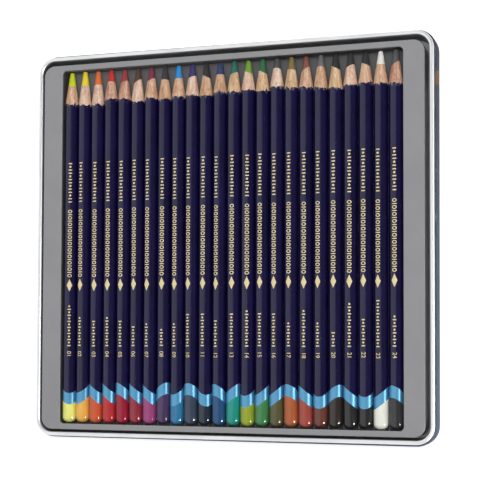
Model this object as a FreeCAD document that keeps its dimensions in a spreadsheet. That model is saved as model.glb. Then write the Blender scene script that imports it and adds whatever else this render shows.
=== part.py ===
"""A flat tin of pencils: lid under the base, a formed tray, and a row of round pencils.

Millimetres. X runs across the row of pencils, Y along them towards their points, Z up.
The origin is at the middle of the surface that the lid's panel lies on.
"""
import FreeCAD, Part
import math
import os
import Sketcher

doc = FreeCAD.newDocument("pencil_set")
sheet = doc.addObject("Spreadsheet::Sheet", "sizes")


# Driving dimensions
DIMENSIONS = (
    ("pencil_length", 175.0, "whole pencil, dipped end to point"),
    ("barrel_dia", 6.9, "round barrel"),
    ("core_dia", 4.0, "coloured core"),
    ("core_fit", 0.02, "glue line between the core and its bore"),
    ("point_dia", 2.0, "blunt point of the core"),
    ("dome_height", 2.7, "rounded dipped end"),
    ("dip_cover", 0.9, "dip over the end of the core"),
    ("pencil_gap", 0.25, "between neighbouring barrels"),
    ("side_gap", 0.45, "between the outer barrels and the pocket's walls"),
    ("tip_gap", 0.6, "between the points and the pocket's end wall"),
    ("end_gap", 0.6, "between the dipped ends and the pocket's end wall"),
    ("trough_gap", 0.15, "between a barrel and its trough"),
    ("trough_depth", 2.0, "trough below the pocket's floor"),
    ("well_length", 15.0, "flat well under the points, from the pocket's end wall"),
    ("well_step", 0.25, "well's floor below the troughs"),
    ("axis_drop", 3.5, "barrel axis below the tray's flange"),
    ("tray_sheet", 0.5, "formed plastic"),
    ("flange_side", 9.9, "flange beside the pocket"),
    ("flange_end", 2.85, "flange past the pocket's ends"),
    ("flange_corner", 5.5, "flange's corner radius"),
    ("pocket_corner", 2.0, "pocket's corner radius"),
    ("tray_edge", 0.4, "rounded edges of the tray"),
    ("left_play", 0.1, "tray's left side to the bend of the base's floor"),
    ("right_play", 1.7, "tray's right side to the bend of the base's floor"),
    ("back_play", 0.6, "tray's side by the dipped ends to the bend of the base's floor"),
    ("front_play", 1.6, "tray's side by the points to the bend of the base's floor"),
    ("flange_drop", 1.0, "flange below the top of the bead"),
    ("tin_sheet", 0.3, "tinplate of the base and lid"),
    ("bead_dia", 2.0, "rolled bead round the base's rim"),
    ("base_height", 12.4, "base from its underside to the top of the bead"),
    ("corner_step", 1.0, "base's inner corner radius over the tray's"),
    ("base_bend", 0.9, "outer bend between the base's wall and its floor"),
    ("lid_play", 0.2, "lid's hem outside the bead when the lid is on"),
    ("lid_below_bead", 1.15, "stowed lid's edge below the bead"),
    ("lid_bend", 1.5, "outer bend between the lid's skirt and its panel"),
    ("hem_height", 2.5, "hem folded inside the lid's edge"),
    ("lid_turn", 0.1, "how far the lid lies turned under the base, degrees"),
    ("seat_gap", 0.05, "between stacked pieces"),
)
# Sizes that follow from the driving ones
DERIVED = (
    ("pencil_pitch", "barrel_dia + pencil_gap"),
    ("barrel_radius", "barrel_dia / 2"),
    ("pocket_x", "(pencil_count - 1) * pencil_pitch + barrel_dia + 2 * side_gap"),
    ("pocket_y", "pencil_length + tip_gap + end_gap"),
    ("tray_x", "pocket_x + 2 * flange_side"),
    ("tray_y", "pocket_y + 2 * flange_end"),
    ("floor_bend", "base_bend - tin_sheet"),
    ("base_inner_x", "tray_x + left_play + right_play + 2 * floor_bend"),
    ("base_inner_y", "tray_y + back_play + front_play + 2 * floor_bend"),
    ("tray_left", "(right_play - left_play) / 2"),
    ("tray_back", "(front_play - back_play) / 2"),
    ("base_corner", "flange_corner + corner_step"),
    ("bead_x", "base_inner_x + 2 * bead_dia"),
    ("bead_y", "base_inner_y + 2 * bead_dia"),
    ("bead_corner", "base_corner + bead_dia"),
    ("hem_x", "bead_x + 2 * lid_play"),
    ("hem_y", "bead_y + 2 * lid_play"),
    ("hem_corner", "bead_corner + lid_play"),
    ("hem_round", "0.9 * tin_sheet"),
    ("base_bottom", "tin_sheet + seat_gap"),
    ("lid_height", "base_bottom + base_height - bead_dia - lid_below_bead"),
    ("tray_bottom", "base_bottom + tin_sheet + seat_gap"),
    ("flange_top", "base_bottom + base_height - flange_drop"),
    ("axis_level", "flange_top - axis_drop"),
    ("trough_radius", "barrel_radius + trough_gap"),
    ("trough_bottom", "axis_level - trough_radius"),
    ("pocket_floor", "trough_bottom + trough_depth"),
    ("tray_height", "flange_top - tray_bottom"),
    ("tray_round", "min(tray_edge; 0.8 * tray_sheet)"),
    ("pocket_depth", "flange_top - pocket_floor"),
    ("well_depth", "trough_depth + well_step"),
    ("well_middle", "(pocket_y - well_length) / 2"),
    ("core_radius", "core_dia / 2"),
    ("bore_radius", "core_radius + core_fit"),
    ("point_radius", "point_dia / 2"),
)

# Each pencil from left to right: length of its sharpened cone, how far and in which direction
# (degrees from +X towards +Z) its core lies off the barrel's axis, and how far it has slid towards its point
PENCILS = (
    (16.1, 0.03, 40, 0.0),
    (16.9, 0.03, 120, 0.15),
    (16.8, 0.03, 200, -0.1),
    (14.4, 0.03, 300, 0.05),
    (14.9, 0.1, 180, -0.15),
    (16.4, 0.2, 180, 0.1),
    (15.2, 0.15, 180, -0.05),
    (16.3, 0.03, 20, 0.2),
    (15.3, 0.03, 150, -0.1),
    (15.2, 0.1, 180, 0.0),
    (15.8, 0.15, 0, 0.1),
    (14.4, 0.03, 250, -0.2),
    (14.8, 0.15, 180, 0.05),
    (14.1, 0.15, 0, -0.1),
    (15.3, 0.15, 0, 0.15),
    (13.6, 0.15, -90, -0.05),
    (14.9, 0.03, 330, 0.1),
    (14.7, 0.2, 180, -0.15),
    (15.5, 0.15, -90, 0.0),
    (16.1, 0.15, 0, 0.1),
    (15.0, 0.15, 180, -0.1),
    (14.7, 0.15, 0, 0.15),
    (14.9, 0.03, 90, -0.2),
    (15.7, 0.2, 180, 0.05),
)

# Where the seam of a rod's round face lies, in degrees about its axis
ROD_SEAM = 135


def write_cell(row, alias, content, note):
    sheet.set(f"A{row}", note)
    sheet.set(f"B{row}", content)
    sheet.setAlias(f"B{row}", alias)


def cell(alias):
    """Name of a sheet cell inside an expression."""
    return f"sizes.{alias}"


def fill_sheet():
    row = 1
    write_cell(row, "pencil_count", str(len(PENCILS)), "pencils in the row")
    for alias, length, note in DIMENSIONS:
        row += 1
        write_cell(row, alias, str(length), note)
    for number, (cone, offset, direction, slid) in enumerate(PENCILS, start=1):
        across = offset * math.cos(math.radians(direction))
        upward = offset * math.sin(math.radians(direction))
        own_sizes = (("cone", cone), ("core_across", across), ("core_up", upward), ("slid", slid))
        for alias, length in own_sizes:
            row += 1
            write_cell(row, f"{alias}_{number:02d}", f"{length:.3f}", f"pencil {number:02d}")
    for alias, formula in DERIVED:
        row += 1
        write_cell(row, alias, f"={formula}", "follows from the rows above")
    doc.recompute()


def size(alias):
    return float(sheet.get(alias))


def new_body(label):
    body = doc.addObject("PartDesign::Body", label)
    body.Label = label
    return body


def origin_feature(body, role):
    return next(item for item in body.Origin.OriginFeatures if item.Role == role)


def new_sketch(body, name, plane, level=None, along=None):
    """A sketch on one of the body's origin planes, raised and moved along its own Y by expressions."""
    sketch = body.newObject("Sketcher::SketchObject", f"{body.Label}_{name}")
    sketch.AttachmentSupport = (origin_feature(body, plane), "")
    sketch.MapMode = "FlatFace"
    if level:
        sketch.setExpression("AttachmentOffset.Base.z", level)
    if along:
        sketch.setExpression("AttachmentOffset.Base.y", along)
    return sketch


def bind(sketch, kind, places, formula, start):
    """A dimension of a sketch, tied to a formula on the sheet."""
    index = sketch.addConstraint(Sketcher.Constraint(kind, *places, start))
    sketch.setExpression(f"Constraints[{index}]", formula)


def rounded_rectangle(sketch, width, length, radius):
    """A closed rounded rectangle about the sketch's origin, sized by three formulas."""
    start_x, start_y, start_r = 50.0, 40.0, 5.0
    corners = ((1, 1), (-1, 1), (-1, -1), (1, -1))
    first = sketch.GeometryCount
    for quarter, (side_x, side_y) in enumerate(corners):
        centre = FreeCAD.Vector(side_x * (start_x - start_r), side_y * (start_y - start_r), 0)
        circle = Part.Circle(centre, FreeCAD.Vector(0, 0, 1), start_r)
        begin = quarter * math.pi / 2
        sketch.addGeometry(Part.ArcOfCircle(circle, begin, begin + math.pi / 2), False)
    for quarter in range(4):
        arc_end = sketch.getPoint(first + quarter, 2)
        next_start = sketch.getPoint(first + (quarter + 1) % 4, 1)
        sketch.addGeometry(Part.LineSegment(arc_end, next_start), False)
    for quarter in range(4):
        line = first + 4 + quarter
        sketch.addConstraint(Sketcher.Constraint("Tangent", first + quarter, 2, line, 1))
        sketch.addConstraint(Sketcher.Constraint("Tangent", line, 2, first + (quarter + 1) % 4, 1))
        sketch.addConstraint(Sketcher.Constraint("Horizontal" if quarter % 2 == 0 else "Vertical", line))
    for quarter in range(1, 4):
        sketch.addConstraint(Sketcher.Constraint("Equal", first, first + quarter))
    sketch.addConstraint(Sketcher.Constraint("Symmetric", first, 3, first + 2, 3, -1, 1))
    bind(sketch, "DistanceX", (first + 1, 2, first + 3, 2), width, 2 * start_x)
    bind(sketch, "DistanceY", (first + 2, 2, first, 2), length, 2 * start_y)
    bind(sketch, "Radius", (first,), radius, start_r)


def add_feature(body, kind, name, sketch=None):
    feature = body.newObject(f"PartDesign::{kind}", f"{body.Label}_{name}")
    if sketch is not None:
        feature.Profile = sketch
    return feature


def pad(body, name, sketch, length, downward=False, sides="One side"):
    feature = add_feature(body, "Pad", name, sketch)
    feature.setExpression("Length", length)
    feature.Reversed = downward
    feature.SideType = sides
    doc.recompute()
    return feature


def pocket(body, name, sketch, depth, sides="One side"):
    """A cut below the sketch, or both ways from it, checked to have taken something away."""
    before = body.Shape.Volume
    feature = add_feature(body, "Pocket", name, sketch)
    feature.setExpression("Length", depth)
    feature.SideType = sides
    doc.recompute()
    if not body.Shape.Volume < before:
        raise RuntimeError(f"{feature.Label} cuts nothing")
    return feature


def fillet_level_edges(body, name, level, radius, pick):
    """Rounds the level edges at one height that the test picks from each edge's middle point."""
    base = body.Tip
    names = []
    for index, edge in enumerate(base.Shape.Edges, start=1):
        box = edge.BoundBox
        if box.ZLength < 1e-6 and abs(box.ZMin - level) < 1e-4:
            middle = edge.valueAt((edge.FirstParameter + edge.LastParameter) / 2)
            if pick(middle):
                names.append(f"Edge{index}")
    if not names:
        raise RuntimeError(f"{name} finds no edge")
    feature = add_feature(body, "Fillet", name)
    feature.Base = (base, names)
    feature.setExpression("Radius", radius)
    doc.recompute()
    return feature


def outside(width, length):
    """A test for points beyond a centred rectangle."""
    return lambda point: abs(point.x) > width / 2 or abs(point.y) > length / 2


def inside(width, length):
    """A test for points within a centred rectangle."""
    return lambda point: abs(point.x) < width / 2 and abs(point.y) < length / 2


def place(body, across="0", along="0", up="0"):
    for axis, formula in (("x", across), ("y", along), ("z", up)):
        body.setExpression(f"Placement.Base.{axis}", formula)


def pan(body, inner_x, inner_y, inner_corner, sheet_steps, height, bend):
    """An open pan of tinplate: a bent-up wall round a flat panel, its underside at the body's zero."""
    wall = cell("tin_sheet")
    grow = f"2 * {sheet_steps} * {wall}"
    shell = f"2 * {sheet_steps - 1} * {wall}"
    outer = new_sketch(body, "outline", "XY_Plane")
    rounded_rectangle(outer, f"{inner_x} + {grow}", f"{inner_y} + {grow}", f"{inner_corner} + {grow} / 2")
    pad(body, "blank", outer, height)
    hollow = new_sketch(body, "hollow_outline", "XY_Plane", height)
    rounded_rectangle(hollow, f"{inner_x} + {shell}", f"{inner_y} + {shell}", f"{inner_corner} + {shell} / 2")
    pocket(body, "hollow", hollow, f"{height} - {wall}")
    fillet_level_edges(body, "inner_bend", size("tin_sheet"), f"{bend} - {wall}", lambda point: True)
    fillet_level_edges(body, "outer_bend", 0.0, bend, lambda point: True)


def make_lid():
    """The lid lies upside down under the base, so its panel is at the bottom and its edge is up."""
    body = new_body("lid")
    height = cell("lid_height")
    pan(body, cell("hem_x"), cell("hem_y"), cell("hem_corner"), 2, height, cell("lid_bend"))
    hem = new_sketch(body, "hem_outline", "XY_Plane", height)
    wall = cell("tin_sheet")
    rounded_rectangle(hem, f"{cell('hem_x')} + 3 * {wall}", f"{cell('hem_y')} + 3 * {wall}",
                      f"{cell('hem_corner')} + 1.5 * {wall}")
    rounded_rectangle(hem, cell("hem_x"), cell("hem_y"), cell("hem_corner"))
    pad(body, "hem", hem, cell("hem_height"), downward=True)
    fillet_level_edges(body, "hem_fold", size("lid_height"), cell("hem_round"), lambda point: True)
    body.setExpression("Placement.Rotation.Angle", f"-{cell('lid_turn')}")
    body.Placement.Rotation.Axis = FreeCAD.Vector(0, 0, 1)
    return body


def make_base():
    """The base stands in the lid and ends in a bead rolled outwards."""
    body = new_body("base_tin")
    height = cell("base_height")
    bead = cell("bead_dia")
    inner_x, inner_y, corner = cell("base_inner_x"), cell("base_inner_y"), cell("base_corner")
    pan(body, inner_x, inner_y, corner, 1, f"{height} - {bead} / 2", cell("base_bend"))
    path = new_sketch(body, "bead_path", "XY_Plane", f"{height} - {bead} / 2")
    rounded_rectangle(path, f"{inner_x} + {bead}", f"{inner_y} + {bead}", f"{corner} + {bead} / 2")
    section = new_sketch(body, "bead_section", "XZ_Plane")
    section.addGeometry(Part.Circle(FreeCAD.Vector(60, 8, 0), FreeCAD.Vector(0, 0, 1), 1), False)
    bind(section, "DistanceX", (-1, 1, 0, 3), f"{inner_x} / 2 + {bead} / 2", 60)
    bind(section, "DistanceY", (-1, 1, 0, 3), f"{height} - {bead} / 2", 8)
    bind(section, "Radius", (0,), f"{bead} / 2", 1)
    rim = add_feature(body, "AdditivePipe", "bead", section)
    rim.Spine = path
    doc.recompute()
    place(body, up=cell("base_bottom"))
    return body


def trough_profile(body, name, radius, top, rise):
    """One trough's section: an arc about the first barrel's axis, closed by a level chord."""
    sketch = new_sketch(body, name, "XZ_Plane")
    first_x = (len(PENCILS) - 1) * size("pencil_pitch") / 2
    start_y = size("axis_level") - size("tray_bottom")
    start_r = size("trough_radius")
    circle = Part.Circle(FreeCAD.Vector(-first_x, start_y, 0), FreeCAD.Vector(0, 0, 1), start_r)
    sketch.addGeometry(Part.ArcOfCircle(circle, math.radians(210), math.radians(330)), False)
    sketch.addGeometry(Part.LineSegment(sketch.getPoint(0, 2), sketch.getPoint(0, 1)), False)
    sketch.addConstraint(Sketcher.Constraint("Coincident", 0, 2, 1, 1))
    sketch.addConstraint(Sketcher.Constraint("Coincident", 1, 2, 0, 1))
    sketch.addConstraint(Sketcher.Constraint("Horizontal", 1))
    shift = f"({cell('pencil_count')} - 1) * {cell('pencil_pitch')} / 2"
    bind(sketch, "Radius", (0,), radius, start_r)
    bind(sketch, "DistanceX", (0, 3, -1, 1), shift, first_x)
    bind(sketch, "DistanceY", (-1, 1, 0, 3), rise, start_y)
    bind(sketch, "DistanceY", (-1, 1, 1, 1), top, sketch.getPoint(0, 1).y)
    return sketch


def repeat_across(body, name, feature):
    """Repeats a feature once for each pencil, along +X."""
    pattern = add_feature(body, "LinearPattern", name)
    pattern.Originals = [feature]
    pattern.Direction = (origin_feature(body, "X_Axis"), "")
    pattern.setExpression("Length", f"({cell('pencil_count')} - 1) * {cell('pencil_pitch')}")
    pattern.setExpression("Occurrences", cell("pencil_count"))
    body.Tip = pattern
    doc.recompute()
    return pattern


def make_tray():
    """The tray's zero is the bottom of its skirt, on the base's floor."""
    body = new_body("pencil_tray")
    wall, edge = cell("tray_sheet"), cell("tray_round")
    top, depth = cell("tray_height"), cell("pocket_depth")
    tray_x, tray_y, corner = cell("tray_x"), cell("tray_y"), cell("flange_corner")
    pocket_x, pocket_y, pocket_corner = cell("pocket_x"), cell("pocket_y"), cell("pocket_corner")
    floor = f"{top} - {depth}"
    rise = f"{cell('axis_level')} - {cell('tray_bottom')}"

    flange = new_sketch(body, "flange_outline", "XY_Plane", top)
    rounded_rectangle(flange, tray_x, tray_y, corner)
    pad(body, "flange", flange, wall, downward=True)
    skirt = new_sketch(body, "skirt_outline", "XY_Plane")
    rounded_rectangle(skirt, tray_x, tray_y, corner)
    rounded_rectangle(skirt, f"{tray_x} - 2 * {wall}", f"{tray_y} - 2 * {wall}", f"{corner} - {wall}")
    pad(body, "skirt", skirt, f"{top} - {wall} / 2")
    tub = new_sketch(body, "tub_outline", "XY_Plane", top)
    rounded_rectangle(tub, f"{pocket_x} + 2 * {wall}", f"{pocket_y} + 2 * {wall}",
                      f"{pocket_corner} + {wall}")
    pad(body, "tub", tub, f"{depth} + {wall}", downward=True)

    ridge = trough_profile(body, "trough_outside", f"{cell('trough_radius')} + {wall}",
                           f"{floor} - {wall} / 2", rise)
    shell = pad(body, "trough_shell", ridge, f"{pocket_y} + 2 * {wall}", sides="Symmetric")
    repeat_across(body, "trough_shells", shell)
    well, well_depth, well_at = cell("well_length"), cell("well_depth"), cell("well_middle")
    basin = new_sketch(body, "well_outside", "XY_Plane", floor, well_at)
    rounded_rectangle(basin, f"{pocket_x} + 2 * {wall}", f"{well} + 2 * {wall}", f"{pocket_corner} + {wall}")
    pad(body, "well_shell", basin, f"{well_depth} + {wall}", downward=True)

    opening = new_sketch(body, "pocket_outline", "XY_Plane", top)
    rounded_rectangle(opening, pocket_x, pocket_y, pocket_corner)
    pocket(body, "pocket", opening, depth)
    groove = trough_profile(body, "trough_inside", cell("trough_radius"), floor, rise)
    trough = pocket(body, "trough", groove, pocket_y, sides="Symmetric")
    repeat_across(body, "troughs", trough)
    hollow = new_sketch(body, "well_outline", "XY_Plane", floor, well_at)
    rounded_rectangle(hollow, pocket_x, well, pocket_corner)
    pocket(body, "well", hollow, well_depth)

    level = size("tray_height")
    mid_flange = (size("pocket_x") + size("flange_end"), size("pocket_y") + size("flange_end"))
    fillet_level_edges(body, "pocket_edge", level, edge, inside(*mid_flange))
    fillet_level_edges(body, "flange_edge", level, edge, outside(*mid_flange))
    place(body, f"-{cell('tray_left')}", f"-{cell('tray_back')}", cell("tray_bottom"))
    return body


def pencil_axis(index):
    """Formulas for the place of a pencil's dipped end, counted from the left."""
    shift = f"({index} - ({cell('pencil_count')} - 1) / 2) * {cell('pencil_pitch')}"
    pocket_end = f"-{cell('pocket_y')} / 2 - {cell('tray_back')}"
    slid = cell(f"slid_{index + 1:02d}")
    return f"{shift} - {cell('tray_left')}", f"{pocket_end} + {cell('end_gap')} + {slid}", cell("axis_level")


def blank_profile(body, cone):
    """Half of a whole pencil's outline, drawn along its axis from the dipped end to the point."""
    sketch = new_sketch(body, "outline", "XY_Plane")
    length, radius = cell("pencil_length"), cell("barrel_radius")
    dome, point = cell("dome_height"), cell("point_radius")
    outline = (
        ("0", "0"),
        (f"{radius} - {dome}", "0"),
        (radius, dome),
        (radius, f"{length} - {cone}"),
        (point, length),
        ("0", length),
    )
    guess = ((0, 0), (1.5, 0), (3.5, 2), (3.5, 160), (1, 175), (0, 175))
    corners = [FreeCAD.Vector(x, y, 0) for x, y in guess]
    round_start, round_end = 1, 2
    for index, here in enumerate(corners):
        there = corners[(index + 1) % len(corners)]
        if index == round_start:
            centre = FreeCAD.Vector(here.x, there.y, 0)
            circle = Part.Circle(centre, FreeCAD.Vector(0, 0, 1), there.y)
            sketch.addGeometry(Part.ArcOfCircle(circle, -math.pi / 2, 0), False)
        else:
            sketch.addGeometry(Part.LineSegment(here, there), False)
    for index in range(len(corners)):
        sketch.addConstraint(Sketcher.Constraint("Coincident", index, 2, (index + 1) % len(corners), 1))
    for index, (x, y) in enumerate(outline):
        for kind, formula, start in (("DistanceX", x, corners[index].x), ("DistanceY", y, corners[index].y)):
            if formula == "0":
                on_axis = -2 if kind == "DistanceX" else -1
                sketch.addConstraint(Sketcher.Constraint("PointOnObject", index, 1, on_axis))
            else:
                bind(sketch, kind, (-1, 1, index, 1), formula, start)
    bind(sketch, "Radius", (round_start,), dome, corners[round_end].y)
    return sketch


def make_blank(number, place_formulas):
    """The whole pencil as one turned solid, its dipped end at the pencil's place."""
    body = new_body(f"pencil_{number:02d}_blank")
    turned = add_feature(body, "Revolution", "turned", blank_profile(body, cell(f"cone_{number:02d}")))
    turned.ReferenceAxis = (origin_feature(body, "Y_Axis"), "")
    turned.Angle = 360
    place(body, *place_formulas)
    return body


def make_rod(number, name, radius, place_formulas):
    """A rod along the core's axis, from under the dip to past the point, its seam clear of the blank's."""
    rod = doc.addObject("Part::Cylinder", f"pencil_{number:02d}_{name}")
    along_y = FreeCAD.Rotation(FreeCAD.Vector(1, 0, 0), -90)
    rod.Placement.Rotation = along_y * FreeCAD.Rotation(FreeCAD.Vector(0, 0, 1), ROD_SEAM)
    rod.setExpression("Radius", radius)
    rod.setExpression("Height", cell("pencil_length"))
    across, along, up = place_formulas
    place(rod, f"{across} + {cell(f'core_across_{number:02d}')}", f"{along} + {cell('dip_cover')}",
          f"{up} + {cell(f'core_up_{number:02d}')}")
    return rod


def make_pencil(index):
    """A casing with its bore, and the core that fills the bore and comes to the point."""
    number = index + 1
    place_formulas = pencil_axis(index)
    blank = make_blank(number, place_formulas)
    casing = doc.addObject("Part::Cut", f"pencil_{number:02d}_casing")
    casing.Base = blank
    casing.Tool = make_rod(number, "bore", cell("bore_radius"), place_formulas)
    core = doc.addObject("Part::Common", f"pencil_{number:02d}_core")
    core.Base = make_rod(number, "rod", cell("core_radius"), place_formulas)
    core.Tool = blank
    doc.recompute()
    return [casing, core]


def check_document():
    for item in doc.Objects:
        if "Invalid" in item.State or "Error" in item.State:
            raise RuntimeError(f"{item.Label}: {item.getStatusString()}")


def write_nodes(nodes):
    """Writes each piece to its own file after making sure that it is one sound solid."""
    os.makedirs("parts", exist_ok=True)
    for node in nodes:
        shape = node.Shape
        if shape.isNull() or not shape.isValid() or len(shape.Solids) != 1:
            raise RuntimeError(f"{node.Label} isn't one valid solid")
        shape.exportStep(f"parts/{node.Label}.step")
        print(f"{node.Label}: {shape.Volume:.1f} mm3")


fill_sheet()
pieces = [make_lid(), make_base(), make_tray()]
for pencil_index in range(len(PENCILS)):
    pieces += make_pencil(pencil_index)
check_document()
write_nodes(pieces)
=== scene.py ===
"""Looks of a flat tin of lacquered pencils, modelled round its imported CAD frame.

Metres, in the frame's own axes: X across the row of pencils, Y along them towards their points, Z up.
"""

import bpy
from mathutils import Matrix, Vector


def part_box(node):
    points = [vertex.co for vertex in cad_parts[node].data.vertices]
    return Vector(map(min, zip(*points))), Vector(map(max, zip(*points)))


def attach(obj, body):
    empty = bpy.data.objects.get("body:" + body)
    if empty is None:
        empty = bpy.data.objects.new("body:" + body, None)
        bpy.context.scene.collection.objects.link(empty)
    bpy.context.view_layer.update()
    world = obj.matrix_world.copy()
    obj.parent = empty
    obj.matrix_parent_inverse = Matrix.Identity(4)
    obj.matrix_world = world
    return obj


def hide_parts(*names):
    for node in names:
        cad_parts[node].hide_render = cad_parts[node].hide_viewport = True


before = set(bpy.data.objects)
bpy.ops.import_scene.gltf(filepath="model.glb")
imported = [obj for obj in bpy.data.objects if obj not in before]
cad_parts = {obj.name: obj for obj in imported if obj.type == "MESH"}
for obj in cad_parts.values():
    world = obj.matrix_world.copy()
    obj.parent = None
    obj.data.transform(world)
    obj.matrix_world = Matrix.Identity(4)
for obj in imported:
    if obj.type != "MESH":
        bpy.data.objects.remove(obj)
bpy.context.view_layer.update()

import math
import random

import bmesh
import bpy
from bpy.props import CollectionProperty, FloatProperty, FloatVectorProperty, IntProperty, PointerProperty
from mathutils import Matrix, Vector

bl_info = {
    "name": "Pencil tin looks",
    "version": (1, 0, 0),
    "blender": (4, 5, 0),
    "location": "3D View > Sidebar > Pencil tin",
    "description": "Models the tin, tray and pencils of a pencil set with their finishes",
    "category": "Object",
}

MM = 0.001
TURN = 2 * math.pi
# Vertices closer than this are one
MERGE = 0.0005 * MM
# Facets that meet at more than this many degrees stay sharp on a pencil
PENCIL_SHARP = 50.0

# Each pencil from left to right: cone length and core shift in mm; in degrees the way of that shift (from +X
# towards +Z), the side on which the band stands highest and the side of the foil (both from +Z towards +X);
# how many foil marks lead to its number; its wood; the dip's colour and the core's colour
PENCILS = (
    (16.1, 0.03, 40, -160, 14, 14, "honey", "f0f182", "cdd714"),
    (16.9, 0.03, 120, 145, -10, 10, "pale", "f2b753", "f0d72d"),
    (16.8, 0.03, 200, -90, -2, 9, "pale", "cd5a37", "e07038"),
    (14.4, 0.03, 300, -85, -2, 10, "rose", "be3237", "c6302e"),
    (14.9, 0.1, 180, -40, -5, 9, "rose", "a01e37", "9a3a3b"),
    (16.4, 0.2, 180, -85, -8, 7, "pale", "963241", "553c32"),
    (15.2, 0.15, 180, -95, -12, 8, "honey", "a0467d", "7c3447"),
    (16.3, 0.03, 20, 55, 0, 6, "tan", "4b375f", "3a363b"),
    (15.3, 0.03, 150, 155, -11, 8, "honey", "3278a5", "2e8bd0"),
    (15.2, 0.1, 180, -8, -14, 11, "pale", "3c485c", "3c376e"),
    (15.8, 0.15, 0, -150, -6, 11, "tan", "283241", "323030"),
    (14.4, 0.03, 250, -35, -16, 9, "tan", "28507d", "37416e"),
    (14.8, 0.15, 180, 80, 0, 11, "straw", "1e9687", "286c64"),
    (14.1, 0.15, 0, 170, 8, 12, "pale", "9baa32", "74a034"),
    (15.3, 0.15, 0, 120, -6, 11, "straw", "468750", "336a46"),
    (13.6, 0.15, -90, 105, -10, 11, "pale", "5a583a", "4b504b"),
    (14.9, 0.03, 330, -25, -8, 8, "straw", "af5f37", "806e42"),
    (14.7, 0.2, 180, -80, -4, 12, "honey", "a54b41", "825046"),
    (15.5, 0.15, -90, 180, -12, 8, "tan", "6e3e34", "6c696d"),
    (16.1, 0.15, 0, 50, -6, 5, "straw", "362f2c", "2e2d2d"),
    (15.0, 0.15, 180, -85, 2, 14, "pale", "2e2e30", "323132"),
    (14.7, 0.15, 0, 180, -8, 9, "honey", "2c2c2e", "302f30"),
    (14.9, 0.03, 90, 110, -14, 15, "honey", "f3f4e8", "ecebe4"),
    (15.7, 0.2, 180, -30, -4, 10, "rose", "373739", "585a59"),
)
# Light and dark tones of the casings' woods
WOODS = {
    "pale": ("eed6c1", "d1a389"),
    "straw": ("e7cca8", "c59b72"),
    "honey": ("e8c6aa", "c29374"),
    "rose": ("ddb59d", "b0775f"),
    "tan": ("debc9e", "b88864"),
}


def paint(code):
    """Linear colour of a six-digit colour code."""
    channels = [int(code[i:i + 2], 16) / 255 for i in (0, 2, 4)]
    linear = [c / 12.92 if c <= 0.04045 else ((c + 0.055) / 1.055) ** 2.4 for c in channels]
    return (*linear, 1.0)


def length_prop(name, millimetres, description):
    return FloatProperty(name=name, description=description, default=millimetres * MM, min=0.0,
                         precision=5, unit="LENGTH", subtype="DISTANCE")


def angle_prop(name, description):
    return FloatProperty(name=name, description=description, default=0.0, unit="ROTATION", subtype="ANGLE")


def colour_prop(name, code, description):
    return FloatVectorProperty(name=name, description=description, default=paint(code)[:3], size=3,
                               min=0.0, max=1.0, subtype="COLOR")


class PencilLook(bpy.types.PropertyGroup):
    """One pencil's own sizes and colours."""
    cone: length_prop("Cone", 15.5, "Length of the sharpened cone")
    core_shift: length_prop("Core shift", 0.0, "How far the core lies off the barrel's axis")
    core_turn: angle_prop("Core turn", "Way of the core's shift, from +X towards +Z")
    band_turn: angle_prop("Band turn", "Side on which the tilted band stands highest, from +Z towards +X")
    foil_turn: angle_prop("Foil turn", "Side that carries the foil, from +Z towards +X")
    marks: IntProperty(name="Marks", description="Foil marks that lead to the number", default=10, min=1)
    dip: colour_prop("Dip", "808080", "Colour of the dipped end")
    core: colour_prop("Core", "808080", "Colour of the core")
    wood_light: colour_prop("Wood, light", "debc9e", "Light tone of the casing's wood")
    wood_dark: colour_prop("Wood, dark", "b88864", "Dark tone of the casing's wood")


class PencilSizes(bpy.types.PropertyGroup):
    """Sizes that all pencils share."""
    length: length_prop("Length", 175.0, "Dipped end to point")
    barrel: length_prop("Barrel", 6.9, "Diameter of the round barrel")
    core: length_prop("Core", 4.0, "Diameter of the core")
    fit: length_prop("Glue line", 0.02, "Between the core and its bore")
    point: length_prop("Point", 2.0, "Diameter of the blunt point")
    dome: length_prop("Dome", 2.7, "Height of the rounded end")
    cover: length_prop("Dip over core", 0.9, "Dip over the end of the core")
    coat: length_prop("Coat", 0.02, "Thickness of one coat of lacquer")
    band_low: length_prop("Band", 11.75, "Middle of the band's lower edge above the dipped end")
    band_wide: length_prop("Band width", 5.5, "Width of the band along the barrel")
    band_tilt: length_prop("Band tilt", 2.75, "How far the band's edges rise and fall")
    foil: length_prop("Foil", 0.02, "How far the foil stands above the lacquer")
    sides: IntProperty(name="Sides", description="Facets round a barrel", default=72, min=24)


class TinSizes(bpy.types.PropertyGroup):
    """Sizes of the pressed tin."""
    sheet: length_prop("Sheet", 0.3, "Tinplate")
    bead: length_prop("Bead", 2.0, "Diameter of the bead round the base's rim")
    base_corner: length_prop("Base corner", 6.5, "Inner corner radius of the base")
    base_bend: length_prop("Base bend", 0.9, "Outer bend between the base's wall and floor")
    lid_half_x: length_prop("Lid across", 100.325, "Half of the lid's outer width")
    lid_half_y: length_prop("Lid along", 95.45, "Half of the lid's outer length")
    lid_corner: length_prop("Lid corner", 9.3, "Outer corner radius of the lid")
    lid_bend: length_prop("Lid bend", 1.5, "Outer bend between the lid's skirt and panel")
    hem: length_prop("Hem", 2.5, "Height of the hem folded inside the lid's edge")
    lid_turn: FloatProperty(name="Lid turn", description="How far the lid lies turned under the base",
                            default=math.radians(-0.1), unit="ROTATION", subtype="ANGLE")
    corner_steps: IntProperty(name="Corner steps", description="Facets in a corner", default=16, min=4)


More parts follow.
